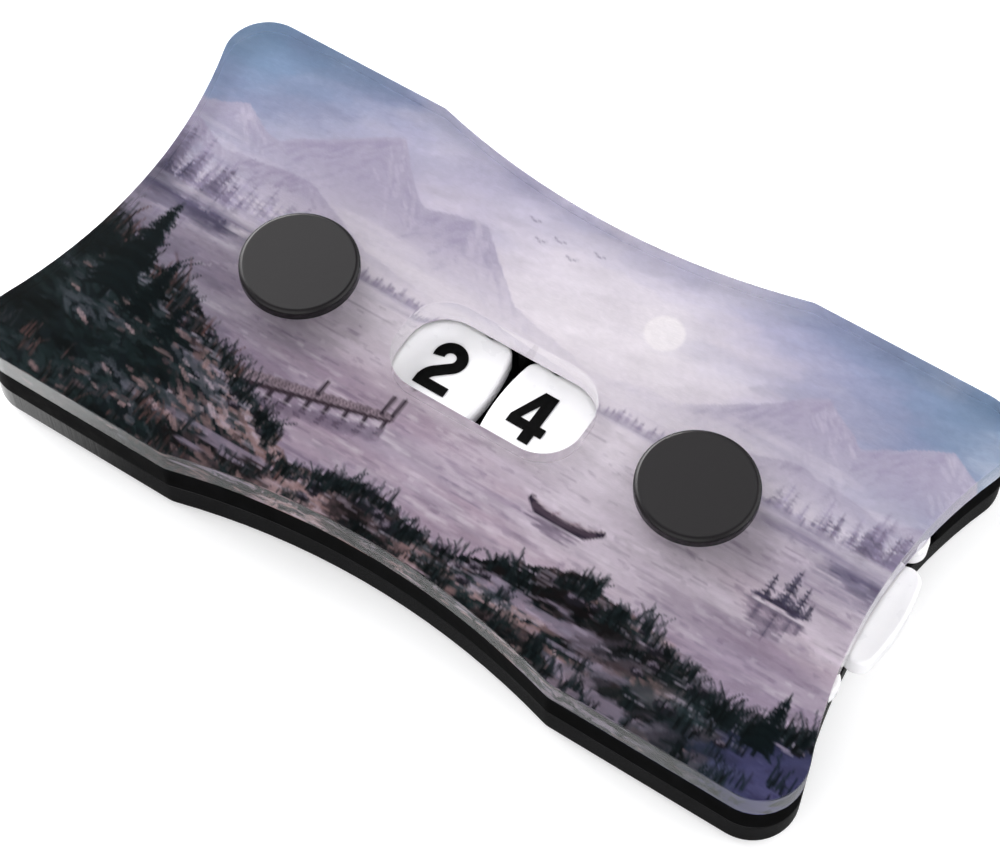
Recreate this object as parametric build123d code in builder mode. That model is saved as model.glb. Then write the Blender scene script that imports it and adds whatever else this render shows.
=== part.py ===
from build123d import *
from math import cos, hypot, radians, sin
import os

# A life counter with two numbered dials, in millimetres.
# The body is a sandwich of flat sheets: base, two rails, a printed picture and a clear cover.
# Each dial turns on a spacer ring that a binding post holds between the base and the cover.
# The origin is on the surface that the two screw heads stand on, under the middle of the body.
# X runs from the left dial to the right dial, and Z points up through the cover.

# Body outline, shared by all the layers
half_width = 22.55
waist_half_width = 19.73
kink_x = 20.15
corner_x = 44.57
waist_half_length = 39.27
corner_radius = 4.27
kink_radius = 2.0
edge_break = 0.12

# Layers, from the bottom up
head_height = 1.1
base_thickness = 3.0
rail_thickness = 3.0
print_thickness = 0.1
cover_thickness = 2.9
base_bottom = head_height
base_top = base_bottom + base_thickness
rail_top = base_top + rail_thickness
print_top = rail_top + print_thickness
cover_top = print_top + cover_thickness

# Window in the cover and the print
window_length = 19.6
window_width = 9.7
window_corner_radius = 4.0

# Dials and what they turn on
dial_axis_x = 21.19
dial_tip_radius = 20.8
lobe_count = 10
lobe_angle = 360 / lobe_count
lobe_corner_radius = 1.45
notch_width = 1.4
notch_depth = 3.0
dial_edge_radius = 0.35
spacer_radius = 4.0
bore_clearance = 0.05
washer_radius = 6.0
washer_thickness = 0.25
running_gap = 0.02
dial_bottom = base_top + washer_thickness + running_gap
dial_top = rail_top - washer_thickness - running_gap

# Rails, cut round the dials
pocket_radius = 21.35
horn_half_gap = 4.6
rail_tip_radius = 0.3

# Binding posts and their screws
head_radius = 5.6
head_edge_radius = 0.45
barrel_radius = 2.5
barrel_end_gap = 0.2
hole_clearance = 0.05
shank_radius = 1.6
shank_length = 6.5
thread_clearance = 0.05
thread_depth = 7.3
slot_width = 1.4
slot_depth = 0.6

# Figures printed on the dials
ink_thickness = 0.08
half_height = 2.75
stem = 1.1
bar = 1.0
left_figure_radius = 15.8
right_figure_radius = 16.1
right_shown_radius = 17.0
left_shown = 2
right_shown = 4


def body_outline():
    """One closed outline: bowed-in long and short edges, straight shoulders and round corners."""
    with BuildSketch() as outline:
        with BuildLine():
            for side in (1, -1):
                y = side * half_width
                ThreePointArc((-side * kink_x, y), (0, side * waist_half_width), (side * kink_x, y))
                Line((side * kink_x, y), (side * corner_x, y))
                ThreePointArc((side * corner_x, y), (side * waist_half_length, 0), (side * corner_x, -y))
                Line((side * corner_x, -y), (side * kink_x, -y))
        make_face()
        by_reach = outline.vertices().group_by(lambda vertex: abs(vertex.X))
        fillet(by_reach[-1], corner_radius)
        kinks = outline.vertices().filter_by(lambda vertex: abs(abs(vertex.X) - kink_x) < kink_radius)
        fillet(kinks, kink_radius)
    return outline.sketch


def post_holes():
    """The two round holes that the barrels of the posts pass through."""
    with Locations((-dial_axis_x, 0), (dial_axis_x, 0)):
        Circle(barrel_radius + hole_clearance, mode=Mode.SUBTRACT)


def base_plate():
    """The black bottom sheet, its long outer edges just broken."""
    with BuildPart() as base:
        with BuildSketch(Plane.XY.offset(base_bottom)):
            add(body_outline())
            post_holes()
        extrude(amount=base_thickness)
        ends = base.faces().filter_by(Axis.Z)
        rims = ends.sort_by(Axis.Z)[0].outer_wire().edges() + ends.sort_by(Axis.Z)[-1].outer_wire().edges()
        fillet(rims, edge_break)
    return base


def rail(side):
    """One of the two middle walls: side is 1 for the rear rail and -1 for the front one."""
    with BuildPart() as wall:
        with BuildSketch(Plane.XY.offset(base_top)) as section:
            add(body_outline())
            with Locations((-dial_axis_x, 0), (dial_axis_x, 0)):
                Circle(pocket_radius, mode=Mode.SUBTRACT)
            with Locations((0, -side * (half_width - horn_half_gap))):
                Rectangle(2 * dial_axis_x, 2 * half_width, mode=Mode.SUBTRACT)
            with Locations((0, -side * half_width)):
                Rectangle(2 * corner_x, 2 * half_width, mode=Mode.SUBTRACT)
            tips = section.vertices().filter_by(lambda vertex: abs(vertex.Y) < half_width / 2)
            fillet(tips, rail_tip_radius)
        extrude(amount=rail_thickness)
        rim = wall.faces().filter_by(Axis.Z).sort_by(Axis.Z)[0].outer_wire().edges()
        fillet(rim, edge_break)
    return wall


def sheet_with_window(bottom, thickness):
    """A sheet of the body outline with the window and the post holes cut through it."""
    with BuildPart() as sheet:
        with BuildSketch(Plane.XY.offset(bottom)):
            add(body_outline())
            RectangleRounded(window_length, window_width, window_corner_radius, mode=Mode.SUBTRACT)
            post_holes()
        extrude(amount=thickness)
    return sheet


def cover_plate():
    """The clear top sheet, its upper outer edge and window edge just broken."""
    with BuildPart() as cover:
        add(sheet_with_window(print_top, cover_thickness).part)
        top = cover.faces().filter_by(Axis.Z).sort_by(Axis.Z)[-1]
        window = top.inner_wires().sort_by(SortBy.LENGTH)[-1]
        fillet(top.outer_wire().edges() + window.edges(), edge_break)
    return cover


def dial(axis_x):
    """A wheel with ten thumb lobes, one for each figure."""
    with BuildPart() as wheel:
        with BuildSketch(Plane.XY.offset(dial_bottom)) as section:
            with Locations((axis_x, 0)):
                Circle(dial_tip_radius)
                Circle(spacer_radius + bore_clearance, mode=Mode.SUBTRACT)
                with PolarLocations(dial_tip_radius, lobe_count, start_angle=lobe_angle / 2):
                    SlotCenterToCenter(2 * notch_depth - notch_width, notch_width, mode=Mode.SUBTRACT)
            lobe_corners = section.vertices().filter_by(
                lambda vertex: hypot(vertex.X - axis_x, vertex.Y) > dial_tip_radius - notch_width / 2
            )
            fillet(lobe_corners, lobe_corner_radius)
        extrude(amount=dial_top - dial_bottom)
        ends = wheel.faces().filter_by(Axis.Z).sort_by(Axis.Z)
        fillet(ends[0].outer_wire().edges() + ends[-1].outer_wire().edges(), dial_edge_radius)
    return wheel


def ring(axis_x, bottom, thickness, outer_radius, inner_radius):
    """A flat ring round a dial's axis, used for the spacers and the washers."""
    with BuildPart() as disc:
        with BuildSketch(Plane.XY.offset(bottom)):
            with Locations((axis_x, 0)):
                Circle(outer_radius)
                Circle(inner_radius, mode=Mode.SUBTRACT)
        extrude(amount=thickness)
    return disc


def binding_post(axis_x):
    """The upper half of a fastener: a smooth round head on a barrel that is bored for the screw."""
    barrel_bottom = base_bottom + barrel_end_gap
    with BuildPart() as post:
        with BuildSketch(Plane.XY.offset(cover_top)):
            with Locations((axis_x, 0)):
                Circle(head_radius)
        extrude(amount=head_height)
        fillet(post.faces().sort_by(Axis.Z)[-1].edges(), head_edge_radius)
        with BuildSketch(Plane.XY.offset(barrel_bottom)):
            with Locations((axis_x, 0)):
                Circle(barrel_radius)
        extrude(amount=cover_top - barrel_bottom)
        with BuildSketch(Plane.XY.offset(barrel_bottom)):
            with Locations((axis_x, 0)):
                Circle(shank_radius + thread_clearance)
        extrude(amount=thread_depth, mode=Mode.SUBTRACT)
    return post


def post_screw(axis_x):
    """The lower half of a fastener: a slotted round head on a shank that screws into the post."""
    with BuildPart() as screw:
        with BuildSketch():
            with Locations((axis_x, 0)):
                Circle(head_radius)
        extrude(amount=head_height)
        fillet(screw.faces().sort_by(Axis.Z)[0].edges(), head_edge_radius)
        with BuildSketch(Plane.XY.offset(head_height)):
            with Locations((axis_x, 0)):
                Circle(shank_radius)
        extrude(amount=shank_length)
        with BuildSketch():
            with Locations((axis_x, 0)):
                Rectangle(2 * head_radius, slot_width)
        extrude(amount=slot_depth, mode=Mode.SUBTRACT)
    return screw


def figure_zero():
    """An upright oval ring."""
    with BuildSketch() as figure:
        Ellipse(1.8, half_height)
        Ellipse(1.8 - stem, half_height - bar, mode=Mode.SUBTRACT)
    return figure.sketch


def figure_one():
    """A stem with a slanting flag."""
    with BuildSketch() as figure:
        with BuildLine():
            Polyline(
                (0.95, -half_height),
                (0.95, half_height),
                (0.2, half_height),
                (-1.1, 1.75),
                (-1.1, 0.8),
                (0.95 - stem, 1.35),
                (0.95 - stem, -half_height),
                close=True,
            )
        make_face()
    return figure.sketch


def figure_two():
    """A round bowl that runs down through a bent spine to a flat foot."""
    bowl_radius = 1.12
    foot_reach = bowl_radius + stem / 2
    with BuildSketch() as figure:
        with BuildLine():
            bowl = CenterArc((0, half_height - foot_reach), bowl_radius, 195, -245)
            spine = PolarLine(bowl @ 1, 1.6, direction=bowl % 1)
            TangentArc(spine @ 1, (-bowl_radius, bar / 2 - half_height), tangent=spine % 1)
        trace(line_width=stem)
        with Locations((0, bar / 2 - half_height)):
            Rectangle(2 * foot_reach, bar)
        with Locations((0, -half_height - stem / 2)):
            Rectangle(4 * stem, stem, mode=Mode.SUBTRACT)
    return figure.sketch


def figure_three():
    """Two open bowls, one over the other, that meet in a short bar."""
    upper_radius = 1.05
    lower_radius = 1.13
    with BuildSketch() as figure:
        with BuildLine():
            CenterArc((0, half_height - stem / 2 - upper_radius), upper_radius, 170, -260)
        trace(line_width=stem)
        with BuildLine():
            CenterArc((0, stem / 2 + lower_radius - half_height), lower_radius, 90, -260)
        trace(line_width=stem)
        with Locations((-0.25, 0.08)):
            Rectangle(0.7, bar)
    return figure.sketch


def figure_four():
    """A stem crossed by a bar, closed by a slanting stroke."""
    with BuildSketch() as figure:
        with BuildLine():
            Polyline(
                (0.06, -half_height),
                (0.06 + stem, -half_height),
                (0.06 + stem, -1.6),
                (1.85, -1.6),
                (1.85, bar - 1.6),
                (0.06 + stem, bar - 1.6),
                (0.06 + stem, half_height),
                (-0.27, half_height),
                (-1.85, -0.72),
                (-1.85, -1.6),
                (0.06, -1.6),
                close=True,
            )
        make_face()
        with BuildLine():
            Polyline((-0.9, bar - 1.6), (0.06, bar - 1.6), (0.06, 1.34), close=True)
        make_face(mode=Mode.SUBTRACT)
    return figure.sketch


def figure_five():
    """A flag and a short stem over an open bowl."""
    bowl_radius = 1.25
    with BuildSketch() as figure:
        with BuildLine():
            CenterArc((0, stem / 2 + bowl_radius - half_height), bowl_radius, 128, -298)
        trace(line_width=stem)
        with BuildLine():
            Polyline((-1.3, half_height), (-0.35, half_height), (-0.65, -0.15), (-1.62, -0.25), close=True)
        make_face()
        with Locations((0.15, half_height - bar / 2)):
            Rectangle(2.9, bar)
    return figure.sketch


def figure_six():
    """A ring with an oval stroke that rises over it from the left."""
    ring_radius = 1.8
    ring_y = ring_radius - half_height
    with BuildSketch() as figure:
        add(figure_zero())
        with Locations((0, -0.5 - half_height)):
            Rectangle(2 * ring_radius, 2 * half_height, mode=Mode.SUBTRACT)
        with Locations((ring_radius, 1.15 - half_height)):
            Rectangle(2 * ring_radius, 2 * half_height, mode=Mode.SUBTRACT)
        with Locations((0, ring_y)):
            Circle(ring_radius)
            Circle(ring_radius - stem, mode=Mode.SUBTRACT)
    return figure.sketch


def figure_seven():
    """A flat top with a bowed stroke that falls from its right end."""
    with BuildSketch() as figure:
        with BuildLine():
            Line((-1.75, half_height), (1.75, half_height))
            Line((1.75, half_height), (1.75, 1.9))
            ThreePointArc((1.75, 1.9), (0.66, -0.25), (0.3, -half_height))
            Line((0.3, -half_height), (-0.85, -half_height))
            ThreePointArc((-0.85, -half_height), (-0.44, -0.35), (0.5, half_height - bar))
            Line((0.5, half_height - bar), (-1.75, half_height - bar))
            Line((-1.75, half_height - bar), (-1.75, half_height))
        make_face()
    return figure.sketch


def figure_eight():
    """A small ring on a larger one."""
    upper_radius = 1.55
    lower_radius = 1.8
    with BuildSketch() as figure:
        with Locations((0, half_height - upper_radius)):
            Circle(upper_radius)
        with Locations((0, lower_radius - half_height)):
            Circle(lower_radius)
        with Locations((0, half_height - upper_radius)):
            Circle(upper_radius - bar, mode=Mode.SUBTRACT)
        with Locations((0, lower_radius - half_height)):
            Circle(lower_radius - stem, mode=Mode.SUBTRACT)
    return figure.sketch


def figure_nine():
    """The six turned half round."""
    with BuildSketch() as figure:
        add(figure_six(), rotation=180)
    return figure.sketch


def dial_numbers(axis_x, shown_angle, shown_value, step_angle, shown_radius, radius):
    """The printed figures of one dial; the shown one stands upright in the window."""
    figures = [
        figure_zero(),
        figure_one(),
        figure_two(),
        figure_three(),
        figure_four(),
        figure_five(),
        figure_six(),
        figure_seven(),
        figure_eight(),
        figure_nine(),
    ]
    with BuildPart() as numbers:
        with BuildSketch(Plane.XY.offset(dial_top)):
            for step in range(lobe_count):
                turn = step * step_angle
                angle = radians(shown_angle + turn)
                reach = radius if step else shown_radius
                x = axis_x + reach * cos(angle)
                y = reach * sin(angle)
                with Locations(Location((x, y, 0), (0, 0, turn))):
                    add(figures[(shown_value + step) % lobe_count])
        extrude(amount=ink_thickness)
    return numbers


def write(piece, name):
    """Labels a finished piece and writes its file."""
    piece.part.label = name
    export_step(piece.part, f"parts/{name}.step")


os.makedirs("parts", exist_ok=True)

write(base_plate(), "base_plate")
write(rail(1), "rear_rail")
write(rail(-1), "front_rail")
write(sheet_with_window(rail_top, print_thickness), "art_print")
write(cover_plate(), "cover_plate")

for side_name, axis_x in (("left", -dial_axis_x), ("right", dial_axis_x)):
    bore_radius = spacer_radius + bore_clearance
    hole_radius = barrel_radius + hole_clearance
    upper_washer_bottom = rail_top - washer_thickness
    write(dial(axis_x), f"{side_name}_dial")
    write(ring(axis_x, base_top, rail_thickness, spacer_radius, hole_radius), f"{side_name}_hub_spacer")
    write(ring(axis_x, base_top, washer_thickness, washer_radius, bore_radius), f"{side_name}_lower_washer")
    write(
        ring(axis_x, upper_washer_bottom, washer_thickness, washer_radius, bore_radius),
        f"{side_name}_upper_washer",
    )
    write(binding_post(axis_x), f"{side_name}_post")
    write(post_screw(axis_x), f"{side_name}_screw")

left_numbers = dial_numbers(
    -dial_axis_x, 0, left_shown, -lobe_angle, left_figure_radius, left_figure_radius
)
right_numbers = dial_numbers(
    dial_axis_x, 180, right_shown, lobe_angle, right_shown_radius, right_figure_radius
)
write(left_numbers, "left_dial_numbers")
write(right_numbers, "right_dial_numbers")
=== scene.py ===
from math import ceil, cos, sin

import bmesh
import bpy
import numpy
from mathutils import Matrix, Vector


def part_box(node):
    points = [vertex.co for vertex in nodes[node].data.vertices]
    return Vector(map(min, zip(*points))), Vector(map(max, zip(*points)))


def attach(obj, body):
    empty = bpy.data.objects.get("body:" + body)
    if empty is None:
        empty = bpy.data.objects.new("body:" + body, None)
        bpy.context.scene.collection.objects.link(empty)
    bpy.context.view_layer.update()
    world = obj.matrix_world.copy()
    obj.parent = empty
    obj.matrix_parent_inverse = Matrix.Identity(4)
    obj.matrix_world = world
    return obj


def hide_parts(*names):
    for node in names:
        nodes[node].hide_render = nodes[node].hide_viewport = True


# A life counter with two numbered dials under a clear printed cover.
# The scene is in metres. Finishes and the painted picture are laid out in millimetres.

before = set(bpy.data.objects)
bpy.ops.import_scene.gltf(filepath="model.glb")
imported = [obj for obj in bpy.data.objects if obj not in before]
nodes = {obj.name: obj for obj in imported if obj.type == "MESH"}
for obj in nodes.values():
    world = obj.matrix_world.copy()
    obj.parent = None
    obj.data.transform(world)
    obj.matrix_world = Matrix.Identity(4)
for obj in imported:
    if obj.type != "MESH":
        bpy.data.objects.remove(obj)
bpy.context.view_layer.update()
scene = bpy.context.scene

MM = 0.001

# Camera, fitted to the photograph: places in metres, lens and sensor in millimetres
camera_place = Vector((0.063928, -0.096859, 0.201406))
camera_target = Vector((0.00234, -0.0025, 0.0056))
camera_lens = 90.127
sensor_width = 36.0
nearest_seen = 0.01

# Posts, in millimetres: how far they are from the middle, and the ring where a head's edge turns glossy
post_axis_x = 21.19
gloss_start = 5.05
gloss_full = 5.3

# Printed picture, in metres: how deep it is bonded into the cover, and how far its outline is drawn in
bond_depth = 0.01 * MM
ink_inset = 0.002 * MM

# Tolerances for building its mesh, in metres
weld_distance = 0.001 * MM
cut_tolerance = 0.00001 * MM

# Painting, in millimetres: the spacing of its spots, and how far its landscape runs from the middle
spot_spacing = 0.195
land_end = 45
land_side = 23
painting_seed = 11

# How much of a dark paint shows through the clear cover, and how much more of a white one
dark_shown = 0.84
white_gain = 0.2

# Studio: the floor's size in metres, and the brightest light that the cover mirrors
floor_size = 3.0
mirrored_limit = 0.8


def paint(code):
    """A paint as red, green and blue from 0 to 1, given as a web colour code."""
    return numpy.array([int(code[i:i + 2], 16) / 255 for i in (1, 3, 5)])


def linear(seen):
    """The linear light of a value as it is seen on a screen."""
    return numpy.where(seen <= 0.04045, seen / 12.92, ((seen + 0.055) / 1.055) ** 2.4)


def ink(code):
    """The linear colour of a paint, as red, green, blue and one."""
    return [*linear(paint(code)), 1.0]


class Bench:
    """A short way to lay out shader nodes: each call adds one node and returns its output."""

    def __init__(self, tree):
        self.tree = tree

    def put(self, kind, inputs, output=0, **settings):
        node = self.tree.nodes.new("ShaderNode" + kind)
        for name, value in settings.items():
            setattr(node, name, value)
        for name, value in inputs.items():
            if isinstance(value, bpy.types.NodeSocket):
                self.tree.links.new(value, node.inputs[name])
            else:
                node.inputs[name].default_value = value
        return node.outputs[output]

    def drive(self, shader, socket, value):
        self.tree.links.new(value, shader.inputs[socket])

    def maths(self, operation, a, b=0.0, c=0.0):
        return self.put("Math", {0: a, 1: b, 2: c}, operation=operation)

    def add(self, a, b):
        return self.maths("ADD", a, b)

    def less(self, a, b):
        return self.maths("SUBTRACT", a, b)

    def times(self, a, b):
        return self.maths("MULTIPLY", a, b)

    def vector(self, operation, a, b):
        return self.put("VectorMath", {0: a, 1: b}, operation=operation)

    def part(self, vector, axis):
        return self.put("SeparateXYZ", {0: vector}, output=axis)

    def step(self, value, low, high, to_low=0.0, to_high=1.0):
        """A soft step: to_low up to low, to_high from high on."""
        inputs = {"Value": value, "From Min": low, "From Max": high, "To Min": to_low, "To Max": to_high}
        return self.put("MapRange", inputs, interpolation_type="SMOOTHSTEP")

    def cloud(self, place, scale, detail=3.0, roughness=0.5):
        """Soft cloudy noise."""
        inputs = {"Vector": place, "Scale": scale, "Detail": detail, "Roughness": roughness}
        return self.put("TexNoise", inputs)

    def blend(self, share, under, over):
        """A mix of two colours: under at share 0, over at share 1."""
        return self.put("Mix", {0: share, 6: under, 7: over}, output=2, data_type="RGBA")

    def palette(self, value, *stops):
        """A colour ramp through pairs of a place and a web colour code."""
        node = self.tree.nodes.new("ShaderNodeValToRGB")
        ramp = node.color_ramp
        while len(ramp.elements) < len(stops):
            ramp.elements.new(1.0)
        for element, (place, code) in zip(ramp.elements, stops):
            element.position = place
            element.color = ink(code)
        self.tree.links.new(value, node.inputs[0])
        return node.outputs[0]


def new_finish(name, **values):
    """A material with its Principled shader set, and the bench to lay out the rest."""
    finish = bpy.data.materials.new(name)
    finish.use_nodes = True
    shader = finish.node_tree.nodes["Principled BSDF"]
    for socket, value in values.items():
        shader.inputs[socket.replace("_", " ")].default_value = value
    return finish, shader, Bench(finish.node_tree)


def millimetres(bench):
    """Where a point of the piece is, in millimetres."""
    place = bench.put("TexCoord", {}, output="Object")
    return bench.vector("MULTIPLY", place, (1000.0, 1000.0, 1000.0))


def set_bump(bench, shader, height, depth):
    """Raises the surface by depth, in metres, where height is 1."""
    inputs = {"Height": height, "Distance": depth, "Strength": 1.0}
    bench.drive(shader, "Normal", bench.put("Bump", inputs))


def hairlines(bench, place, angle, length, spacing):
    """Fine scratches that run one way across a sheet."""
    turned = bench.put("VectorRotate", {"Vector": place, "Angle": angle}, rotation_type="Z_AXIS")
    drawn = bench.vector("MULTIPLY", turned, (1 / length, 1 / spacing, 1 / length))
    return bench.step(bench.cloud(drawn, 1.0, detail=2.0), 0.66, 0.74)


def cut_sides(bench):
    """1 on the cut sides of a level sheet, and 0 on its faces."""
    facing = bench.put("NewGeometry", {}, output="Normal")
    level = bench.maths("ABSOLUTE", bench.part(facing, 2))
    return bench.step(level, 0.2, 0.7, 1.0, 0.0)


def cut_lines(bench, place, spacing):
    """Upright lines that a cutting beam leaves on the side of a sheet, and none on its faces."""
    drawn = bench.vector("MULTIPLY", place, (1 / spacing, 1 / spacing, 0.02 / spacing))
    lines = bench.cloud(drawn, 1.0, detail=2.0, roughness=0.6)
    return bench.times(lines, cut_sides(bench))


def clear_acrylic():
    """Polished clear sheet whose cut sides are a little hazy with fine upright lines."""
    finish, shader, bench = new_finish(
        "clear_acrylic", Base_Color=ink("#fbfcfd"), Roughness=0.0, IOR=1.49, Transmission_Weight=1.0,
        Sheen_Roughness=0.6
    )
    place = millimetres(bench)
    seen_from_inside = bench.put("NewGeometry", {}, output="Backfacing")
    outer = bench.times(cut_sides(bench), bench.less(1.0, seen_from_inside))
    haze = bench.add(bench.times(bench.cloud(place, 1.3, detail=4.0), 0.12), 0.17)
    bench.drive(shader, "Sheen Weight", bench.times(haze, outer))
    one_way = hairlines(bench, place, 0.4, 9.0, 0.12)
    other_way = hairlines(bench, place, -0.9, 12.0, 0.15)
    scratches = bench.add(one_way, other_way)
    height = bench.add(bench.times(scratches, -0.12), cut_lines(bench, place, 0.35))
    set_bump(bench, shader, height, 0.0025 * MM)
    return finish


def black_acrylic():
    """Gloss black sheet with a few scratches, its cut sides finely lined."""
    finish, shader, bench = new_finish("black_acrylic", IOR=1.49, Specular_IOR_Level=0.165)
    place = millimetres(bench)
    one_way = hairlines(bench, place, 0.2, 8.0, 0.12)
    other_way = hairlines(bench, place, 1.3, 10.0, 0.14)
    scratches = bench.add(one_way, other_way)
    haze = bench.cloud(place, 0.25, detail=4.0)
    rough = bench.add(bench.step(haze, 0.3, 0.7, 0.06, 0.1), bench.times(scratches, 0.12))
    bench.drive(shader, "Roughness", rough)
    shade = bench.palette(haze, (0.3, "#0b0b0c"), (0.7, "#111112"))
    bench.drive(shader, "Base Color", shade)
    height = bench.add(cut_lines(bench, place, 0.22), bench.times(scratches, -0.15))
    set_bump(bench, shader, height, 0.006 * MM)
    return finish


def rail_acrylic():
    """Black sheet with duller cut sides than the base, so it reads as the darkest layer."""
    finish, shader, bench = new_finish("rail_acrylic", Specular_IOR_Level=0.01)
    place = millimetres(bench)
    haze = bench.cloud(place, 0.6, detail=4.0)
    lines = cut_lines(bench, place, 0.16)
    bench.drive(shader, "Base Color", bench.palette(haze, (0.3, "#090909"), (0.7, "#0e0e0f")))
    bench.drive(shader, "Roughness", bench.step(haze, 0.3, 0.7, 0.45, 0.6))
    set_bump(bench, shader, lines, 0.012 * MM)
    return finish


def white_acrylic():
    """White sheet that lets a little light through, so its cut sides glow by its lit face."""
    finish, shader, bench = new_finish(
        "white_acrylic", IOR=1.49,
        Subsurface_Weight=0.6, Subsurface_Scale=0.8 * MM, Subsurface_Radius=(1.0, 1.0, 1.0),
    )
    place = millimetres(bench)
    haze = bench.cloud(place, 0.5, detail=4.0)
    specks = bench.step(bench.cloud(place, 7.0, detail=1.0), 0.76, 0.84, 0.0, 0.5)
    tint = bench.blend(specks, bench.palette(haze, (0.3, "#ecebee"), (0.7, "#efeef0")), ink("#dbdade"))
    bench.drive(shader, "Base Color", tint)
    bench.drive(shader, "Roughness", bench.step(haze, 0.3, 0.7, 0.26, 0.38))
    grain = bench.times(bench.cloud(place, 9.0, detail=2.0), 0.2)
    set_bump(bench, shader, bench.add(grain, cut_lines(bench, place, 0.2)), 0.006 * MM)
    return finish


def number_ink():
    """Printed black, a little uneven."""
    finish, shader, bench = new_finish("number_ink", Specular_IOR_Level=0.03)
    place = millimetres(bench)
    body = bench.cloud(place, 3.0, detail=4.0, roughness=0.6)
    bench.drive(shader, "Base Color", bench.palette(body, (0.35, "#050505"), (0.75, "#0c0c0d")))
    bench.drive(shader, "Roughness", bench.step(body, 0.3, 0.7, 0.38, 0.55))
    set_bump(bench, shader, bench.cloud(place, 14.0, detail=2.0), 0.004 * MM)
    return finish


def natural_plastic(name, light, dark):
    """Moulded plastic without pigment, a little cloudy."""
    finish, shader, bench = new_finish(name, IOR=1.5)
    place = millimetres(bench)
    clouding = bench.cloud(place, 0.9, detail=5.0, roughness=0.6)
    bench.drive(shader, "Base Color", bench.palette(clouding, (0.3, dark), (0.7, light)))
    bench.drive(shader, "Roughness", bench.step(clouding, 0.3, 0.7, 0.4, 0.55))
    set_bump(bench, shader, bench.cloud(place, 8.0, detail=3.0), 0.006 * MM)
    return finish


def post_plastic():
    """Satin black moulding with an even, very fine grain, a few rubbed spots and a glossy rim."""
    finish, shader, bench = new_finish("post_plastic", IOR=1.5, Specular_IOR_Level=0.23)
    place = millimetres(bench)
    grain = bench.cloud(place, 11.0, roughness=0.6)
    rubbed = bench.step(bench.cloud(place, 1.1, detail=5.0, roughness=0.65), 0.5, 0.8)
    folded = bench.put("VectorMath", {0: place}, operation="ABSOLUTE")
    from_post = bench.vector("MULTIPLY", bench.vector("SUBTRACT", folded, (post_axis_x, 0, 0)), (1, 1, 0))
    reach = bench.put("VectorMath", {0: from_post}, output="Value", operation="LENGTH")
    rim = bench.step(reach, gloss_start, gloss_full)
    bench.drive(shader, "Base Color", bench.palette(grain, (0.3, "#121012"), (0.7, "#161416")))
    satin = bench.less(0.54, bench.times(rubbed, 0.08))
    bench.drive(shader, "Roughness", bench.less(satin, bench.times(rim, 0.28)))
    set_bump(bench, shader, grain, 0.005 * MM)
    return finish


def dress(finish, *names):
    """Gives CAD nodes a finish."""
    for name in names:
        for slot in nodes[name].material_slots:
            slot.material = finish


def slice_up(sheet, faces, axis, low, strips, spacing):
    """Cuts faces square to an axis into strips as wide as spacing, always halving what is left."""
    if strips < 2:
        return
    middle = low + strips // 2 * spacing
    normal = Vector((0, 0, 0))
    normal[axis] = 1
    edges = {edge for face in faces for edge in face.edges}
    corners = {corner for face in faces for corner in face.verts}
    parts = [*faces, *edges, *corners]
    cut = bmesh.ops.bisect_plane(
        sheet, geom=parts, dist=cut_tolerance, plane_co=normal * middle, plane_no=normal
    )
    pieces = [piece for piece in cut["geom"] if isinstance(piece, bmesh.types.BMFace)]
    sides = ([], [])
    for piece in pieces:
        sides[piece.calc_center_bounds()[axis] > middle].append(piece)
    slice_up(sheet, sides[0], axis, low, strips // 2, spacing)
    slice_up(sheet, sides[1], axis, middle, strips - strips // 2, spacing)


def printed_picture():
    """The ink layer: the cover's underside drawn in by a hair, its top bonded into the cover."""
    low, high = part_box("art_print")
    sheet = bmesh.new()
    sheet.from_mesh(nodes["cover_plate"].data)
    bmesh.ops.remove_doubles(sheet, verts=sheet.verts, dist=weld_distance)
    others = [face for face in sheet.faces if face.normal.z > -0.99]
    bmesh.ops.delete(sheet, geom=others, context="FACES")
    bmesh.ops.dissolve_limit(sheet, angle_limit=0.001, verts=sheet.verts, edges=sheet.edges)
    drawn_in = (1 - ink_inset / high.x, 1 - ink_inset / high.y, 1)
    bmesh.ops.scale(sheet, vec=drawn_in, verts=sheet.verts)
    bottom = bmesh.ops.extrude_face_region(sheet, geom=sheet.faces)["geom"]
    bottom = [vertex for vertex in bottom if isinstance(vertex, bmesh.types.BMVert)]
    bmesh.ops.translate(sheet, vec=(0, 0, low.z - high.z), verts=bottom)
    top = [vertex for vertex in sheet.verts if vertex.co.z > (low.z + high.z) / 2]
    bmesh.ops.translate(sheet, vec=(0, 0, bond_depth), verts=top)
    bmesh.ops.recalc_face_normals(sheet, faces=sheet.faces)
    for axis in (0, 1):
        upper = [face for face in sheet.faces if face.normal.z > 0.9]
        strips = ceil((high[axis] - low[axis]) / (spot_spacing * MM))
        slice_up(sheet, upper, axis, low[axis], strips, spot_spacing * MM)
    mesh = bpy.data.meshes.new("printed_picture")
    sheet.to_mesh(mesh)
    sheet.free()
    painting = lake_painting(high.x / MM, high.y / MM)
    spots = numpy.zeros(3 * len(mesh.vertices))
    mesh.vertices.foreach_get("co", spots)
    colours = painting.colours_at(spots[0::3] / MM, spots[1::3] / MM)
    coat = mesh.color_attributes.new("paint", "FLOAT_COLOR", "POINT")
    coat.data.foreach_set("color", colours.ravel())
    picture = bpy.data.objects.new("printed_picture", mesh)
    scene.collection.objects.link(picture)
    return picture


def paints(*codes):
    """Several paints, one to a row."""
    return numpy.array([paint(code) for code in codes])


def gradient(value, stops, colours):
    """The colour at a value, blended between the colours at the stops."""
    return numpy.stack([numpy.interp(value, stops, channel) for channel in colours.T], axis=-1)


def soft(value, low=0.0, high=1.0):
    """A soft step from 0 at low to 1 at high."""
    share = numpy.clip((value - low) / (high - low), 0.0, 1.0)
    return share * share * (3 - 2 * share)


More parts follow.
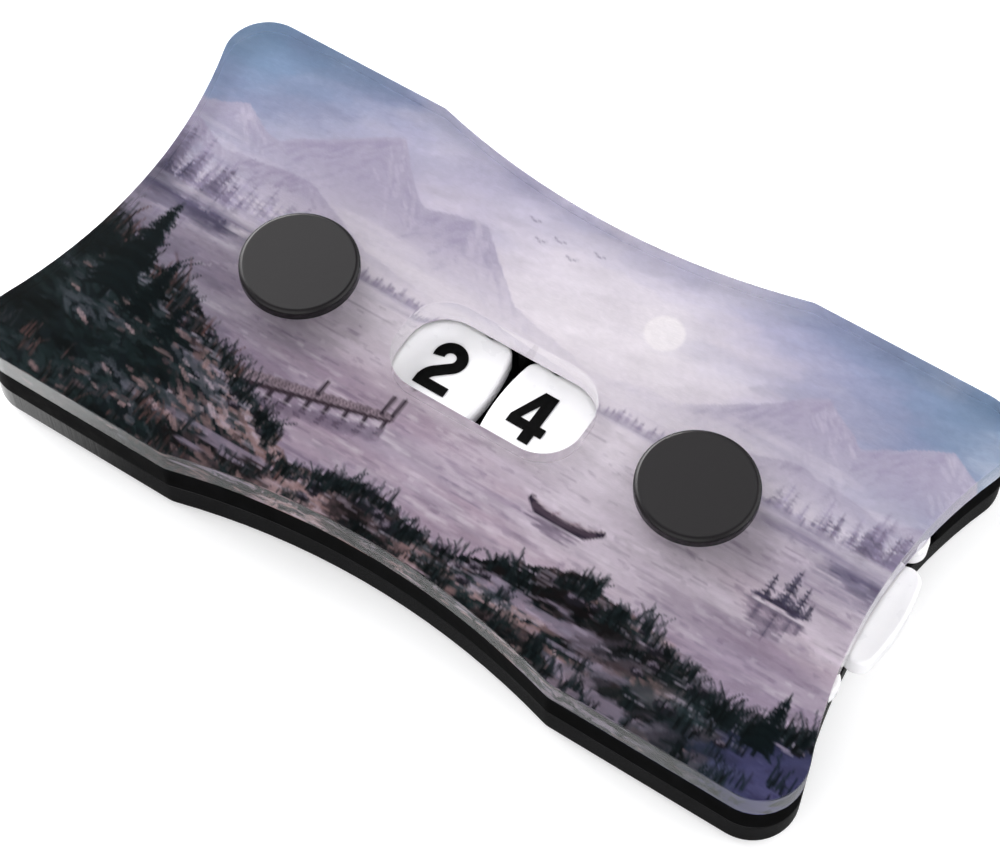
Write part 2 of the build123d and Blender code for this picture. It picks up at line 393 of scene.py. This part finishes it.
class Painting:
    """A coat of paint on a flat sheet, held at evenly spaced spots, in millimetres."""

    def __init__(self, half_length, half_width):
        self.left = -half_length
        self.front = -half_width
        columns = int(2 * half_length / spot_spacing) + 2
        rows = int(2 * half_width / spot_spacing) + 2
        across = self.left + numpy.arange(columns) * spot_spacing
        up = self.front + numpy.arange(rows) * spot_spacing
        self.x, self.y = numpy.meshgrid(across, up)
        self.coat = numpy.zeros(self.x.shape + (3,))
        self.luck = numpy.random.default_rng(painting_seed)

    def anywhere(self):
        """A random place along the landscape."""
        return self.luck.uniform(-land_end, land_end)

    def lumps(self, long, tall):
        """Smooth random lumps from 0 to 1, long by tall millimetres each."""
        across = numpy.arange(self.x.shape[1]) * spot_spacing / long
        up = numpy.arange(self.x.shape[0]) * spot_spacing / tall
        i, j = up.astype(int), across.astype(int)
        knots = self.luck.random((i[-1] + 2, j[-1] + 2))
        right = soft(across - j)[None, :]
        above = soft(up - i)[:, None]
        lower = knots[i][:, j] * (1 - right) + knots[i][:, j + 1] * right
        upper = knots[i + 1][:, j] * (1 - right) + knots[i + 1][:, j + 1] * right
        return lower * (1 - above) + upper * above

    def cloud(self, long, tall, octaves=5, fade=0.55):
        """Cloudy noise from 0 to 1, its largest lumps long by tall millimetres."""
        total = 0.0
        for octave in range(octaves):
            total = total + fade ** octave * self.lumps(long / 2 ** octave, tall / 2 ** octave)
        return total * (1 - fade) / (1 - fade ** octaves)

    def line(self, points, jag, long=6.0):
        """The height of a broken line over every column, roughened by jag millimetres."""
        places, heights = zip(*points)
        rough = self.cloud(long, 1.0, octaves=6, fade=0.6)[0] - 0.5
        return numpy.interp(self.x[0], places, heights) + 2 * jag * rough

    def lay(self, share, colour, near=...):
        """Covers the whole sheet, or the spots near a place, with a colour, as far as share says."""
        self.coat[near] += share[..., None] * (colour - self.coat[near])

    def window(self, x, y, reach_x, reach_y):
        """The spots near a place."""
        column, row = (x - self.left) / spot_spacing, (y - self.front) / spot_spacing
        wide, high = reach_x / spot_spacing + 1, reach_y / spot_spacing + 1
        rows = slice(max(0, int(row - high)), max(0, int(row + high) + 1))
        columns = slice(max(0, int(column - wide)), max(0, int(column + wide) + 1))
        return rows, columns

    def nearest(self, x, y):
        """The row and column of the spot nearest to a place, or to each of many places."""
        rows, columns = self.coat.shape[:2]
        row = numpy.clip(numpy.rint((y - self.front) / spot_spacing), 0, rows - 1)
        column = numpy.clip(numpy.rint((x - self.left) / spot_spacing), 0, columns - 1)
        return row.astype(int), column.astype(int)

    def colours_at(self, x, y):
        """The linear colour at many places, as red, green, blue and one.

        It is stronger than it is meant to look, because the clear cover darkens it.
        """
        light = linear(numpy.clip(self.coat[self.nearest(x, y)], 0, 1))
        stronger = numpy.clip(light / (dark_shown + white_gain * light), 0, 1)
        return numpy.concatenate([stronger, numpy.ones((len(x), 1))], axis=1)

    def colour_at(self, x, y):
        """The colour that is already at a place."""
        return self.coat[self.nearest(x, y)].copy()

    def dab(self, x, y, length, width, turn, colour, cover):
        """One mark of a flat brush, with soft ends and bristle streaks."""
        reach = (length + width) / 2
        near = self.window(x, y, reach, reach)
        dx, dy = self.x[near] - x, self.y[near] - y
        if dx.size == 0:
            return
        along = (dx * cos(turn) + dy * sin(turn)) * 2 / length
        side = (dy * cos(turn) - dx * sin(turn)) * 2 / width
        shape = numpy.clip(2.2 - 2.2 * (numpy.abs(along) ** 3 + side ** 2), 0, 1)
        streaks = 0.85 + 0.15 * numpy.sin(6 * side + 1.5 * along + 99 * x)
        self.lay(cover * shape * streaks, colour, near)

    def stroke(self, points, start_width, end_width, colour, cover=1.0):
        """A tapering line of paint through the points."""
        points = numpy.array(points)
        low, high = points.min(0), points.max(0)
        middle, reach = (low + high) / 2, (high - low) / 2 + max(start_width, end_width)
        near = self.window(middle[0], middle[1], reach[0], reach[1])
        x, y = self.x[near], self.y[near]
        if x.size == 0:
            return
        runs = len(points) - 1
        edge = numpy.full(x.shape, numpy.inf)
        for i in range(runs):
            (ax, ay), (bx, by) = points[i], points[i + 1]
            square = (bx - ax) ** 2 + (by - ay) ** 2 + 1e-9
            share = numpy.clip(((x - ax) * (bx - ax) + (y - ay) * (by - ay)) / square, 0, 1)
            half = (start_width + (end_width - start_width) * (i + share) / runs) / 2
            off = numpy.hypot(x - ax - share * (bx - ax), y - ay - share * (by - ay)) - half
            edge = numpy.minimum(edge, off)
        self.lay(cover * numpy.clip(0.5 - edge / spot_spacing, 0, 1), colour, near)

    def brushwork(self, count, area, length, width, turn, jitter, cover):
        """Many dabs over an area, each in the colour that is already there, a little changed."""
        west, south, east, north = area
        for _ in range(count):
            x, y = self.luck.uniform(west, east), self.luck.uniform(south, north)
            picked_x, picked_y = x + self.luck.normal(0, 0.6), y + self.luck.normal(0, 0.4)
            colour = self.colour_at(picked_x, picked_y) * (1 + self.luck.normal(0, jitter))
            slant = turn + self.luck.normal(0, 0.12)
            size = self.luck.uniform(0.5, 1.3)
            self.dab(x, y, length * size, width * size, slant, numpy.clip(colour, 0, 1), cover)


def fir(painting, x, foot, height, colour, cover=1.0, upright=1):
    """A fir: a stem and tiers of drooping branches; upright is -1 for its reflection."""
    luck = painting.luck
    lean = luck.normal(0, 0.02) * height
    top = (x + lean, foot + upright * height)
    painting.stroke([(x, foot), top], height * 0.05, 0.08, colour, cover)
    tiers = max(5, int(height * 2.2))
    for tier in range(tiers):
        light = colour * luck.uniform(0.85, 1.15)
        rise = 0.12 + 0.86 * (tier + luck.uniform(-0.3, 0.3)) / tiers
        reach = height * 0.24 * (1 - rise) ** 0.85 * luck.uniform(0.65, 1.15) + 0.1
        start = (x + lean * rise, foot + upright * height * rise)
        for side in (-1, 1):
            out = side * reach * luck.uniform(0.75, 1.15)
            droop = upright * abs(out) * luck.uniform(0.25, 0.55)
            middle = (start[0] + out * 0.55, start[1] - droop * 0.35)
            end = (start[0] + out, start[1] - droop)
            thick = 0.12 + height * 0.035 * (1.1 - rise)
            painting.stroke([start, middle, end], thick * 1.5, thick * 0.5, light, cover)


def tuft(painting, x, foot, height, blades, colours):
    """A tuft of bending grass blades."""
    luck = painting.luck
    for _ in range(blades):
        root = x + luck.normal(0, 0.35 + 0.1 * height)
        tall = height * luck.uniform(0.45, 1.1)
        bend = luck.normal(0, 0.3) * tall
        points = []
        for t in (0, 0.35, 0.7, 1):
            points.append((root + bend * t * t, foot + tall * t - 0.2 * t * t * abs(bend)))
        painting.stroke(points, 0.22, 0.07, colours[luck.integers(len(colours))], luck.uniform(0.6, 1.0))


def stone(painting, x, y, size, dark, light):
    """A boulder: a dark lump with a lit cap."""
    luck = painting.luck
    for _ in range(3):
        painting.dab(x + luck.normal(0, 0.15) * size, y, size, size * 0.62, luck.normal(0, 0.2), dark, 0.9)
    cap = [(x + right * size, y + up * size) for right, up in ((-0.3, 0.08), (-0.02, 0.27), (0.3, 0.12))]
    painting.stroke(cap, 0.28 * size, 0.12 * size, light, 0.75)


def paint_sky(painting):
    """A pale sky that darkens towards its corners, with billows and a low moon."""
    x, y = painting.x, painting.y
    drift = painting.cloud(26, 13)
    height = numpy.clip((y - 3 + 7 * (drift - 0.5)) / 20, 0, 1)
    skies = paints("#ddd5db", "#d9d0da", "#c8bfce", "#aaa6bf", "#9298b6")
    painting.coat = gradient(height, (0.0, 0.3, 0.6, 0.85, 1.0), skies)
    painting.lay(0.75 * soft(numpy.abs(x) + 0.5 * y + 14 * (drift - 0.5), 24, 50), paint("#7480a0"))
    painting.lay(0.75 * soft(numpy.abs(x) + 1.1 * y + 12 * (drift - 0.5), 46, 66), paint("#6783a0"))
    glow = numpy.hypot((x - 5) / 19, (y - 11) / 11)
    painting.lay(0.85 * soft(glow + 0.5 * (drift - 0.5), 1.15, 0.15), paint("#e7dfe5"))
    billows = painting.cloud(11, 6)
    painting.lay(0.55 * soft(billows, 0.5, 0.72) * soft(y, 8, 16), paint("#e2dae3"))
    painting.lay(0.35 * soft(billows, 0.45, 0.25) * soft(y, 6, 16), paint("#8084a6"))
    above = (-land_end, 3, land_end, land_side)
    painting.brushwork(1500, above, 5.5, 1.7, 0.28, 0.03, 0.35)
    painting.brushwork(1800, above, 3.0, 0.8, 0.22, 0.035, 0.3)
    from_moon = numpy.hypot(x - 10, y - 13.2)
    painting.lay(0.35 * soft(from_moon, 4.5, 1.5), paint("#f3ebee"))
    painting.lay(0.75 * soft(from_moon, 2.1, 1.7), paint("#f8f1f2"))


def paint_ridge(painting, points, jag, body, shade, mist, foot):
    """A mountain ridge with lit and shaded faces, fading into the mist at its foot."""
    luck = painting.luck
    crest = painting.line(points, jag)
    below = crest[None, :] - painting.y
    rock = soft(below, -0.12, 0.12)
    fade = soft(painting.y, foot, foot + 9)
    painting.lay(rock * (0.15 + 0.8 * fade), paint(body))
    for _ in range(900):
        x = painting.anywhere()
        top = numpy.interp(x, painting.x[0], crest)
        y = top - luck.exponential(2.4) - 0.4
        if y < foot:
            continue
        slope = numpy.interp(x + 1, painting.x[0], crest) - numpy.interp(x - 1, painting.x[0], crest)
        lit = slope < 0
        turn = (-1.0 if lit else 1.0) * luck.uniform(0.6, 1.1)
        over = paint(mist if lit and luck.random() < 0.6 else shade)
        colour = painting.colour_at(x, y) * 0.6 + 0.4 * over
        cover = 0.55 * float(soft(y, foot, foot + 6))
        painting.dab(x, y, luck.uniform(0.8, 2.4), luck.uniform(0.25, 0.6), turn, colour, cover)


def paint_mist(painting, y, reach, count, cover):
    """Level pale marks round one height."""
    luck = painting.luck
    for _ in range(count):
        place = painting.anywhere(), luck.normal(y, reach)
        colour = paint("#dcd3dc") * luck.uniform(0.95, 1.03)
        length, width = luck.uniform(4, 13), luck.uniform(0.6, 1.6)
        painting.dab(*place, length, width, luck.normal(0, 0.04), colour, cover)


def paint_shores(painting):
    """The far shore and two headlands with firs, and their reflections."""
    luck = painting.luck
    for x in numpy.arange(-26, 30, 0.55):
        tall = luck.uniform(0.6, 1.7)
        painting.dab(x, 2.9 + 0.3 * tall, 1.4, 0.7 * tall, luck.normal(0, 0.3), paint("#988ea3"), 0.35)
        fir(painting, x + luck.normal(0, 0.2), 2.9, tall, paint("#8d839a"), 0.45)
    painting.stroke([(-land_end, 2.9), (land_end, 2.9)], 0.5, 0.5, paint("#9c93a8"), 0.5)
    for edge, inner, sign in ((-land_end, -17, -1), (land_end, 25, 1)):
        for layer, (haze, grow, lift) in enumerate(((0.5, 1.0, 0.9), (0.75, 1.0, 0.0), (0.95, 0.8, -0.9))):
            colour = paint(("#958ca3", "#70687d", "#4a4659")[layer])
            reach = abs(edge - inner) * (1.0, 0.8, 0.52)[layer]
            for _ in range(int(reach * 1.5)):
                out = luck.random() ** 0.8
                x = edge - sign * reach * (1 - out)
                foot = 1.7 + lift + 0.4 * luck.normal()
                tall = (2.0 + 5.5 * out) * luck.uniform(0.6, 1.15) * grow
                fir(painting, x, foot, tall, colour * luck.uniform(0.92, 1.1), haze)
                fir(painting, x, 2 * 1.4 - foot, tall * 0.7, colour, 0.22 * haze, upright=-1)
            shape = ((0, 2.2), (0.6, 1.9), (1.1, 1.5))
            ground = [(edge - sign * reach * share, high + lift) for share, high in shape]
            painting.stroke(ground, 1.3, 0.2, colour, haze)
            for _ in range(int(reach * 3)):
                x, y = edge - sign * reach * luck.random(), 1.9 + lift + luck.normal(0, 0.3)
                shrub = colour * luck.uniform(0.95, 1.3)
                painting.dab(x, y, 1.6, 0.8, luck.normal(0, 0.4), shrub, 0.5 * haze)


def paint_water(painting):
    """The lake's colours: pale far off, darker and warmer near the bank."""
    x, y = painting.x, painting.y
    ripple = painting.cloud(16, 2.0)
    depth = numpy.clip((2.6 - y + 6 * (ripple - 0.5)) / 24, 0, 1)
    waters = paints("#d6ccd5", "#c2b6c2", "#b0a3b1", "#9a8c9c", "#7d7083")
    lake = soft(2.6 - y, -0.1, 0.3)
    painting.lay(lake, gradient(depth, (0.0, 0.2, 0.42, 0.7, 1.0), waters))
    shade = painting.cloud(15, 3.2)
    painting.lay(lake * 0.6 * soft(shade, 0.52, 0.72) * soft(-y, -2, 5), paint("#7a6b80"))
    painting.lay(lake * 0.5 * soft(shade, 0.48, 0.3) * soft(-y, -2, 5), paint("#dcd0da"))
    warm = painting.cloud(12, 2.5)
    painting.lay(lake * 0.4 * soft(warm, 0.5, 0.7) * soft(-y, 0, 8), paint("#a98f9c"))
    dark = soft(-x + 8 * (ripple - 0.5), 10, 40) * soft(-y, -4, 6)
    painting.lay(lake * 0.7 * dark, paint("#4f4a59"))
    shine = numpy.hypot((x - 6) / 22, (y + 1) / 8)
    painting.lay(lake * 0.5 * soft(shine + 0.9 * (ripple - 0.5), 1.1, 0.2), paint("#ded5dd"))


def paint_ripples(painting):
    """Level brush marks over the water, smaller with distance."""
    luck = painting.luck
    below = (-land_end, -21, land_end, 2.4)
    painting.brushwork(1500, below, 7.0, 1.2, 0.0, 0.05, 0.4)
    painting.brushwork(1500, below, 3.5, 0.6, 0.0, 0.07, 0.4)
    for _ in range(1900):
        x, y = painting.anywhere(), 2.2 - luck.random() ** 0.9 * 20
        near = 0.7 + 0.04 * (2 - y)
        bright = luck.random() < 0.6 - 0.01 * abs(x - 5)
        colour = painting.colour_at(x, y) * 0.5 + 0.5 * paint("#e3dae2" if bright else "#5a4d62")
        size = luck.exponential(1.5) + 0.5
        painting.dab(x, y, size * near, 0.3 * near, luck.normal(0, 0.05), colour, luck.uniform(0.15, 0.6))


def paint_jetty(painting):
    """A plank jetty on posts that runs out from the left bank, with its reflection."""
    luck = painting.luck
    start, end = numpy.array((-20.5, -11.6)), numpy.array((-6.0, -7.9))
    for share in numpy.arange(0, 1.001, 0.02):
        x, y = start + share * (end - start)
        deep = luck.uniform(1.6, 2.6) * (1.1 - 0.4 * share)
        painting.dab(x, y - 1.2 - 0.5 * deep, 1.3, deep, luck.normal(0, 0.1), paint("#5d5163"), 0.22)
    for share in numpy.arange(0.04, 1.01, 0.12):
        x, y = start + share * (end - start)
        tall = 1.7 - 0.6 * share
        for down in numpy.arange(0, 1.7 - 0.5 * share, 0.3):
            painting.dab(x + luck.normal(0, 0.12), y - tall - down, 0.8, 0.3, 0.0, paint("#453b49"), 0.6)
        painting.stroke([(x, y), (x, y - tall)], 0.5 - 0.15 * share, 0.5 - 0.15 * share, paint("#2c252c"))
        painting.dab(x, y - tall, 1.6, 0.22, 0.0, paint("#d9cfd9"), 0.5)
    painting.stroke([start, end], 1.6, 0.9, paint("#352c32"))
    painting.stroke([start + (0, 0.3), end + (0, 0.18)], 1.1, 0.6, paint("#857580"))
    for share in numpy.arange(0, 1.0, 0.035):
        x, y = start + share * (end - start)
        tone = paint("#85747c") * luck.uniform(0.75, 1.2)
        far = y + 0.75 - 0.3 * share
        painting.stroke([(x - 0.1, y - 0.05), (x + 0.3, far)], 0.32, 0.3, tone, 0.6)
        painting.stroke([(x - 0.35, y - 0.1), (x + 0.05, far)], 0.1, 0.08, paint("#3d333a"), 0.8)
    for share, tall in ((1.0, 1.9), (0.93, 1.9), (0.52, 1.5)):
        x, y = start + share * (end - start) + (0.2, 0.4)
        painting.stroke([(x, y), (x + 0.08, y + tall)], 0.45, 0.38, paint("#2e272e"))
        painting.stroke([(x + 0.14, y + 0.2), (x + 0.2, y + tall)], 0.12, 0.12, paint("#a09099"), 0.7)


def paint_islet(painting, x, y):
    """A small rock with four firs and their reflections, out in the water."""
    luck = painting.luck
    for i in range(16):
        width = 7.5 - 0.38 * i
        painting.dab(x + luck.normal(0, 0.3), y - 0.3 - 0.17 * i, width, 0.3, 0.0, paint("#5b5162"), 0.5)
    for out, tall in ((-1.5, 2.6), (0.1, 4.2), (1.5, 3.0), (2.4, 1.7)):
        fir(painting, x + out, y + 0.2, tall, paint("#3a3746"), 0.95)
        fir(painting, x + out, y - 0.3, 0.75 * tall, paint("#4a4354"), 0.4, upright=-1)
    for _ in range(26):
        out = luck.normal(0, 1.3)
        rock = paint("#2f2b38") * luck.uniform(0.8, 1.6)
        top = y + 0.35 - 0.09 * out * out * luck.random()
        painting.dab(x + out, top, 1.5, 0.5, luck.normal(0, 0.2), rock, 0.8)
    for _ in range(5):
        out, length = luck.normal(0, 1.5), luck.uniform(1, 3)
        painting.dab(x + out, y - 0.15, length, 0.26, 0.0, paint("#ddd3dc"), 0.6)


def paint_boat(painting, x, y):
    """A small empty rowing boat."""
    luck = painting.luck
    for i in range(12):
        aside, down = luck.normal(0, 0.5), 0.7 + 0.11 * i
        painting.dab(x + aside, y - down, 5.5 - 0.25 * i, 0.25, 0.0, paint("#5c5062"), 0.5)

    def line(start_width, end_width, code, *offsets):
        points = [(x + right, y + up) for right, up in offsets]
        painting.stroke(points, start_width, end_width, paint(code))

    line(0.7, 0.7, "#2b2530", (-3.4, 0.55), (-2.4, -0.25), (0, -0.5), (2.4, -0.2), (3.6, 0.8))
    line(0.75, 0.75, "#453a45", (-2.8, 0.1), (0, -0.15), (2.9, 0.3))
    line(0.18, 0.18, "#b9a9b2", (-3.4, 0.75), (-1.8, 0.3), (0.4, 0.2), (2.4, 0.5), (3.6, 1.05))
    line(0.2, 0.2, "#8a7680", (-1.1, 0.2), (-0.6, 0.55))
    line(0.2, 0.2, "#8a7680", (0.9, 0.2), (1.4, 0.55))
    painting.dab(x - 0.3, y - 0.72, 6.5, 0.22, 0.02, paint("#d9cfd9"), 0.6)


def paint_bank(painting):
    """The dark near bank with soil, pools, stones, grass and firs."""
    luck = painting.luck
    shape = (
        (-45, -3.2), (-38, -4.6), (-31, -7.2), (-24, -9.8), (-18, -13), (-11, -16.2), (-4, -15), (2, -17.2),
        (9, -15.2), (17, -12.4), (25, -13), (33, -15.8), (39, -15.2), (45, -13.6),
    )
    edge = painting.line(shape, 1.5, long=7.0)
    across = painting.x[0]
    inside = edge[None, :] - painting.y
    painting.lay(soft(inside, -0.2, 0.25), paint("#11171a"))
    ground = painting.cloud(7, 2.4, octaves=4)
    warmth = numpy.exp(-((painting.x + 7) / 17) ** 2) + 0.6 * numpy.exp(-((painting.x - 20) / 9) ** 2)
    tones = (0.3, 0.42, 0.5, 0.58, 0.66, 0.76)
    cold = paints("#080c0d", "#0f1617", "#182223", "#262f31", "#3b3f45", "#5f5c68")
    warm = paints("#120f10", "#2b2527", "#4f4144", "#79605f", "#94797a", "#ab9ba6")
    for _ in range(5600):
        x = painting.anywhere()
        top = numpy.interp(x, across, edge)
        y = top + 0.2 - luck.random() ** 1.2 * (top + land_side)
        row = min(ground.shape[0] - 1, max(0, int((y - painting.front) / spot_spacing)))
        column = min(ground.shape[1] - 1, max(0, int((x - painting.left) / spot_spacing)))
        tone = ground[row, column] + luck.normal(0, 0.05) - 0.05 * soft(-y, 18, land_side)
        colour = gradient(tone, tones, warm if luck.random() < warmth[row, column] else cold)
        slope = numpy.interp(x + 1.5, across, edge) - numpy.interp(x - 1.5, across, edge)
        turn = numpy.arctan(slope / 3) * 0.7 + luck.normal(0, 0.25)
        painting.dab(x, y, luck.uniform(0.6, 2.4), luck.uniform(0.35, 0.7), turn, colour, 0.85)
    pools = soft(painting.cloud(9, 1.6), 0.6, 0.68) * soft(inside, 0.6, 1.4) * soft(painting.x, -30, -18)
    painting.lay(0.75 * pools, paint("#8d8093"))
    violet = soft(painting.x - 0.7 * painting.y + 12 * (painting.cloud(8, 4) - 0.5), 43, 56)
    painting.lay(0.8 * violet * soft(inside, 0, 1.5), paint("#3f3d63"))
    painting.brushwork(500, (20, -land_side, land_end, -13), 2.4, 0.8, 0.3, 0.12, 0.6)
    for _ in range(300):
        x = luck.uniform(-34, 44)
        y = numpy.interp(x, across, edge) - luck.exponential(1.4)
        cover = luck.uniform(0.2, 0.6)
        painting.dab(x, y, luck.uniform(0.6, 2.6), 0.3, luck.normal(0, 0.05), paint("#a99cad"), cover)
    for _ in range(60):
        x = luck.uniform(-32, 44)
        y = numpy.interp(x, across, edge) - abs(luck.normal(0, 1.3)) + 0.4
        stone(painting, x, y, luck.uniform(0.5, 2.0), paint("#1c1a20"), paint("#796d7c"))
    dark = paints("#070b0b", "#0e1517", "#182022")
    rusty = paints("#070b0b", "#0e1517", "#182022", "#4d3634", "#2f3034")
    for _ in range(170):
        x = painting.anywhere()
        y = numpy.interp(x, across, edge) - abs(luck.normal(0, 1.0))
        tall = luck.exponential(0.7) + 0.8 + 1.5 * float(soft(abs(x), 22, 40))
        tuft(painting, x, y, tall, luck.integers(5, 12), dark if x > -20 else rusty)
    firs = ((-40.5, -9, 10), (-35.6, -11.5, 12.5), (-31.8, -12, 7.5), (-28.2, -12.6, 5), (37.5, -18, 6.5))
    for x, foot, tall in firs:
        for share in (1.0, 0.96):
            fir(painting, x, foot, tall * share, paint("#0c1315"))
    for _ in range(120):
        x, y = painting.anywhere(), luck.uniform(-land_side, -18.5)
        tuft(painting, x, y, luck.uniform(0.8, 2.6), luck.integers(5, 10), rusty if x < -10 else dark)


def lake_painting(half_length, half_width):
    """A generic landscape: mist over a mountain lake with firs, a jetty, a boat and a dark near bank."""
    painting = Painting(half_length, half_width)
    paint_sky(painting)
    far_peaks = (
        (-45, 10), (-37, 14), (-32, 11.5), (-22, 18.2), (-16, 13), (-10, 14.5), (-3, 8.5), (6, 6),
        (15, 7.5), (22, 12), (26, 15.5), (31, 12.5), (38, 16.5), (45, 13),
    )
    near_hills = (
        (-45, 11), (-36, 8), (-27, 9.5), (-18, 5.8), (-8, 4.6), (4, 4.2),
        (17, 5.2), (27, 8), (36, 7), (45, 10.5),
    )
    paint_ridge(painting, far_peaks, 0.9, "#a9a1b6", "#938ba5", "#d3cbd7", 4.5)
    paint_mist(painting, 5.5, 1.6, 160, 0.25)
    paint_ridge(painting, near_hills, 0.7, "#9b91a9", "#837992", "#c0b7c8", 3.2)
    paint_mist(painting, 3.8, 0.7, 160, 0.25)
    paint_water(painting)
    paint_shores(painting)
    paint_ripples(painting)
    paint_mist(painting, 2.4, 0.4, 50, 0.2)
    paint_jetty(painting)
    paint_boat(painting, 12.5, -8.2)
    paint_islet(painting, 32.5, -5.2)
    paint_bank(painting)
    birds = ((-5, 15.5), (-3.4, 16.4), (-1.5, 15.3), (0.6, 17), (-6.6, 17.2))
    for x, y in birds:
        painting.stroke([(x - 0.6, y + 0.25), (x, y), (x + 0.55, y + 0.3)], 0.1, 0.1, paint("#6f6880"), 0.8)
    painting.coat *= (1 + 0.03 * (painting.lumps(0.4, 0.4) - 0.5))[..., None]
    return painting


def print_ink():
    """The paint laid on the top, with the fine dots of the print; the back of the layer is black."""
    finish, shader, bench = new_finish("print_ink", Roughness=0.7, Specular_IOR_Level=0.0)
    place = millimetres(bench)
    paint_coat = bench.put("VertexColor", {}, layer_name="paint")
    dots = bench.put("TexVoronoi", {"Vector": place, "Scale": 9.0}, voronoi_dimensions="2D")
    brushed = bench.cloud(bench.vector("MULTIPLY", place, (1.6, 7.0, 1.0)), 1.0, detail=2.0)
    tone = bench.maths("MULTIPLY_ADD", dots, 0.06, bench.maths("MULTIPLY_ADD", brushed, 0.16, 0.9))
    coated = bench.put("VectorMath", {0: paint_coat, "Scale": tone}, operation="SCALE")
    facing = bench.put("NewGeometry", {}, output="Normal")
    painted = bench.step(bench.part(facing, 2), -0.7, -0.3)
    bench.drive(shader, "Base Color", bench.blend(painted, ink("#1b1a1c"), coated))
    return finish


def studio_floor():
    """A plain pale floor under the object, which the object doesn't mirror."""
    sheet = bmesh.new()
    bmesh.ops.create_grid(sheet, x_segments=1, y_segments=1, size=floor_size / 2)
    mesh = bpy.data.meshes.new("studio_floor")
    sheet.to_mesh(mesh)
    sheet.free()
    floor = bpy.data.objects.new("studio_floor", mesh)
    floor.visible_glossy = False
    scene.collection.objects.link(floor)
    finish, shader, bench = new_finish(
        "pale_paper", Roughness=0.9, Specular_IOR_Level=0.1,
        Emission_Color=ink("#ffffff"), Emission_Strength=0.3,
    )
    pulp = bench.cloud(millimetres(bench), 0.05)
    bench.drive(shader, "Base Color", bench.palette(pulp, (0.3, "#f4f4f5"), (0.7, "#f7f7f8")))
    mesh.materials.append(finish)
    return floor


def studio_light():
    """Soft lamps all round, and a dim ceiling where the cover would mirror them into the camera.

    Below the horizon is what the dark side walls mirror of the table: bright on the left, dim on the right.
    The clear cover mirrors no lamp brighter than mirrored_limit, so its picture reads from all sides.
    Past the edge of the floor the backdrop is plain white.
    """
    world = bpy.data.worlds.new("studio")
    world.use_nodes = True
    scene.world = world
    bench = Bench(world.node_tree)
    toward = bench.put("TexCoord", {}, output="Generated")

    def nearness(direction, edge, core, outside, inside):
        """A soft round spot: outside from its edge out, inside from its core in."""
        aim = tuple(Vector(direction).normalized())
        near = bench.put("VectorMath", {0: toward, 1: aim}, output="Value", operation="DOT_PRODUCT")
        return bench.step(near, edge, core, outside, inside)

    # Each lamp's direction, where its soft edge starts and ends, and its strength
    lamps = (
        ((-0.84, 0.34, 0.42), 0.78, 0.92, 5.0),
        ((-0.66, 0.44, 0.61), 0.94, 0.985, 13.0),
        ((0.80, 0.55, 0.30), 0.60, 0.95, 1.6),
        ((0.15, -0.95, 0.35), 0.60, 0.95, 1.2),
    )
    height = bench.part(toward, 2)
    light = bench.step(height, -0.1, 0.1, 0.0, 0.65)
    for direction, edge, core, strength in lamps:
        light = bench.add(nearness(direction, edge, core, 0.0, strength), light)
    ceiling = nearness((-0.20, 0.42, 0.88), 0.84, 0.94, 1.0, 0.04)
    light = bench.times(light, ceiling)
    reflected = bench.put("LightPath", {}, output="Is Reflection Ray")
    mirrored = bench.times(reflected, bench.put("LightPath", {}, output="Is Singular Ray"))
    light = bench.maths("MINIMUM", light, bench.step(mirrored, 0.0, 1.0, 100.0, mirrored_limit))
    table_glow = bench.step(bench.part(toward, 0), -0.38, -0.45, 0.1, 1.5)
    light = bench.add(bench.times(table_glow, bench.step(height, -0.15, -0.45)), light)
    backdrop = bench.put("LightPath", {}, output="Is Camera Ray")
    light = bench.maths("MAXIMUM", bench.times(light, bench.less(1.0, backdrop)), backdrop)
    background = world.node_tree.nodes["Background"]
    background.inputs["Color"].default_value = (1.0, 1.0, 1.0, 1.0)
    world.node_tree.links.new(light, background.inputs["Strength"])


def photo_camera():
    """The camera that took the photograph."""
    data = bpy.data.cameras.new("photo_camera")
    data.lens = camera_lens
    data.sensor_width = sensor_width
    data.clip_start = nearest_seen
    camera = bpy.data.objects.new("photo_camera", data)
    camera.location = camera_place
    camera.rotation_euler = (camera_target - camera_place).to_track_quat("-Z", "Y").to_euler()
    scene.collection.objects.link(camera)
    scene.camera = camera


scene.view_settings.view_transform = "Standard"

dress(clear_acrylic(), "cover_plate")
dress(black_acrylic(), "base_plate")
dress(rail_acrylic(), "rear_rail", "front_rail")
dress(white_acrylic(), "left_dial", "right_dial")
dress(number_ink(), "left_dial_numbers", "right_dial_numbers")
dress(natural_plastic("hub_plastic", "#efefec", "#e2e2dd"), "left_hub_spacer", "right_hub_spacer")
dress(
    natural_plastic("washer_plastic", "#e6e5dc", "#d6d4c8"),
    "left_lower_washer", "left_upper_washer", "right_lower_washer", "right_upper_washer",
)
dress(post_plastic(), "left_post", "right_post", "left_screw", "right_screw")

picture = printed_picture()
picture.data.materials.append(print_ink())
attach(picture, "body")
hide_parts("art_print")

studio_floor()
studio_light()
photo_camera()
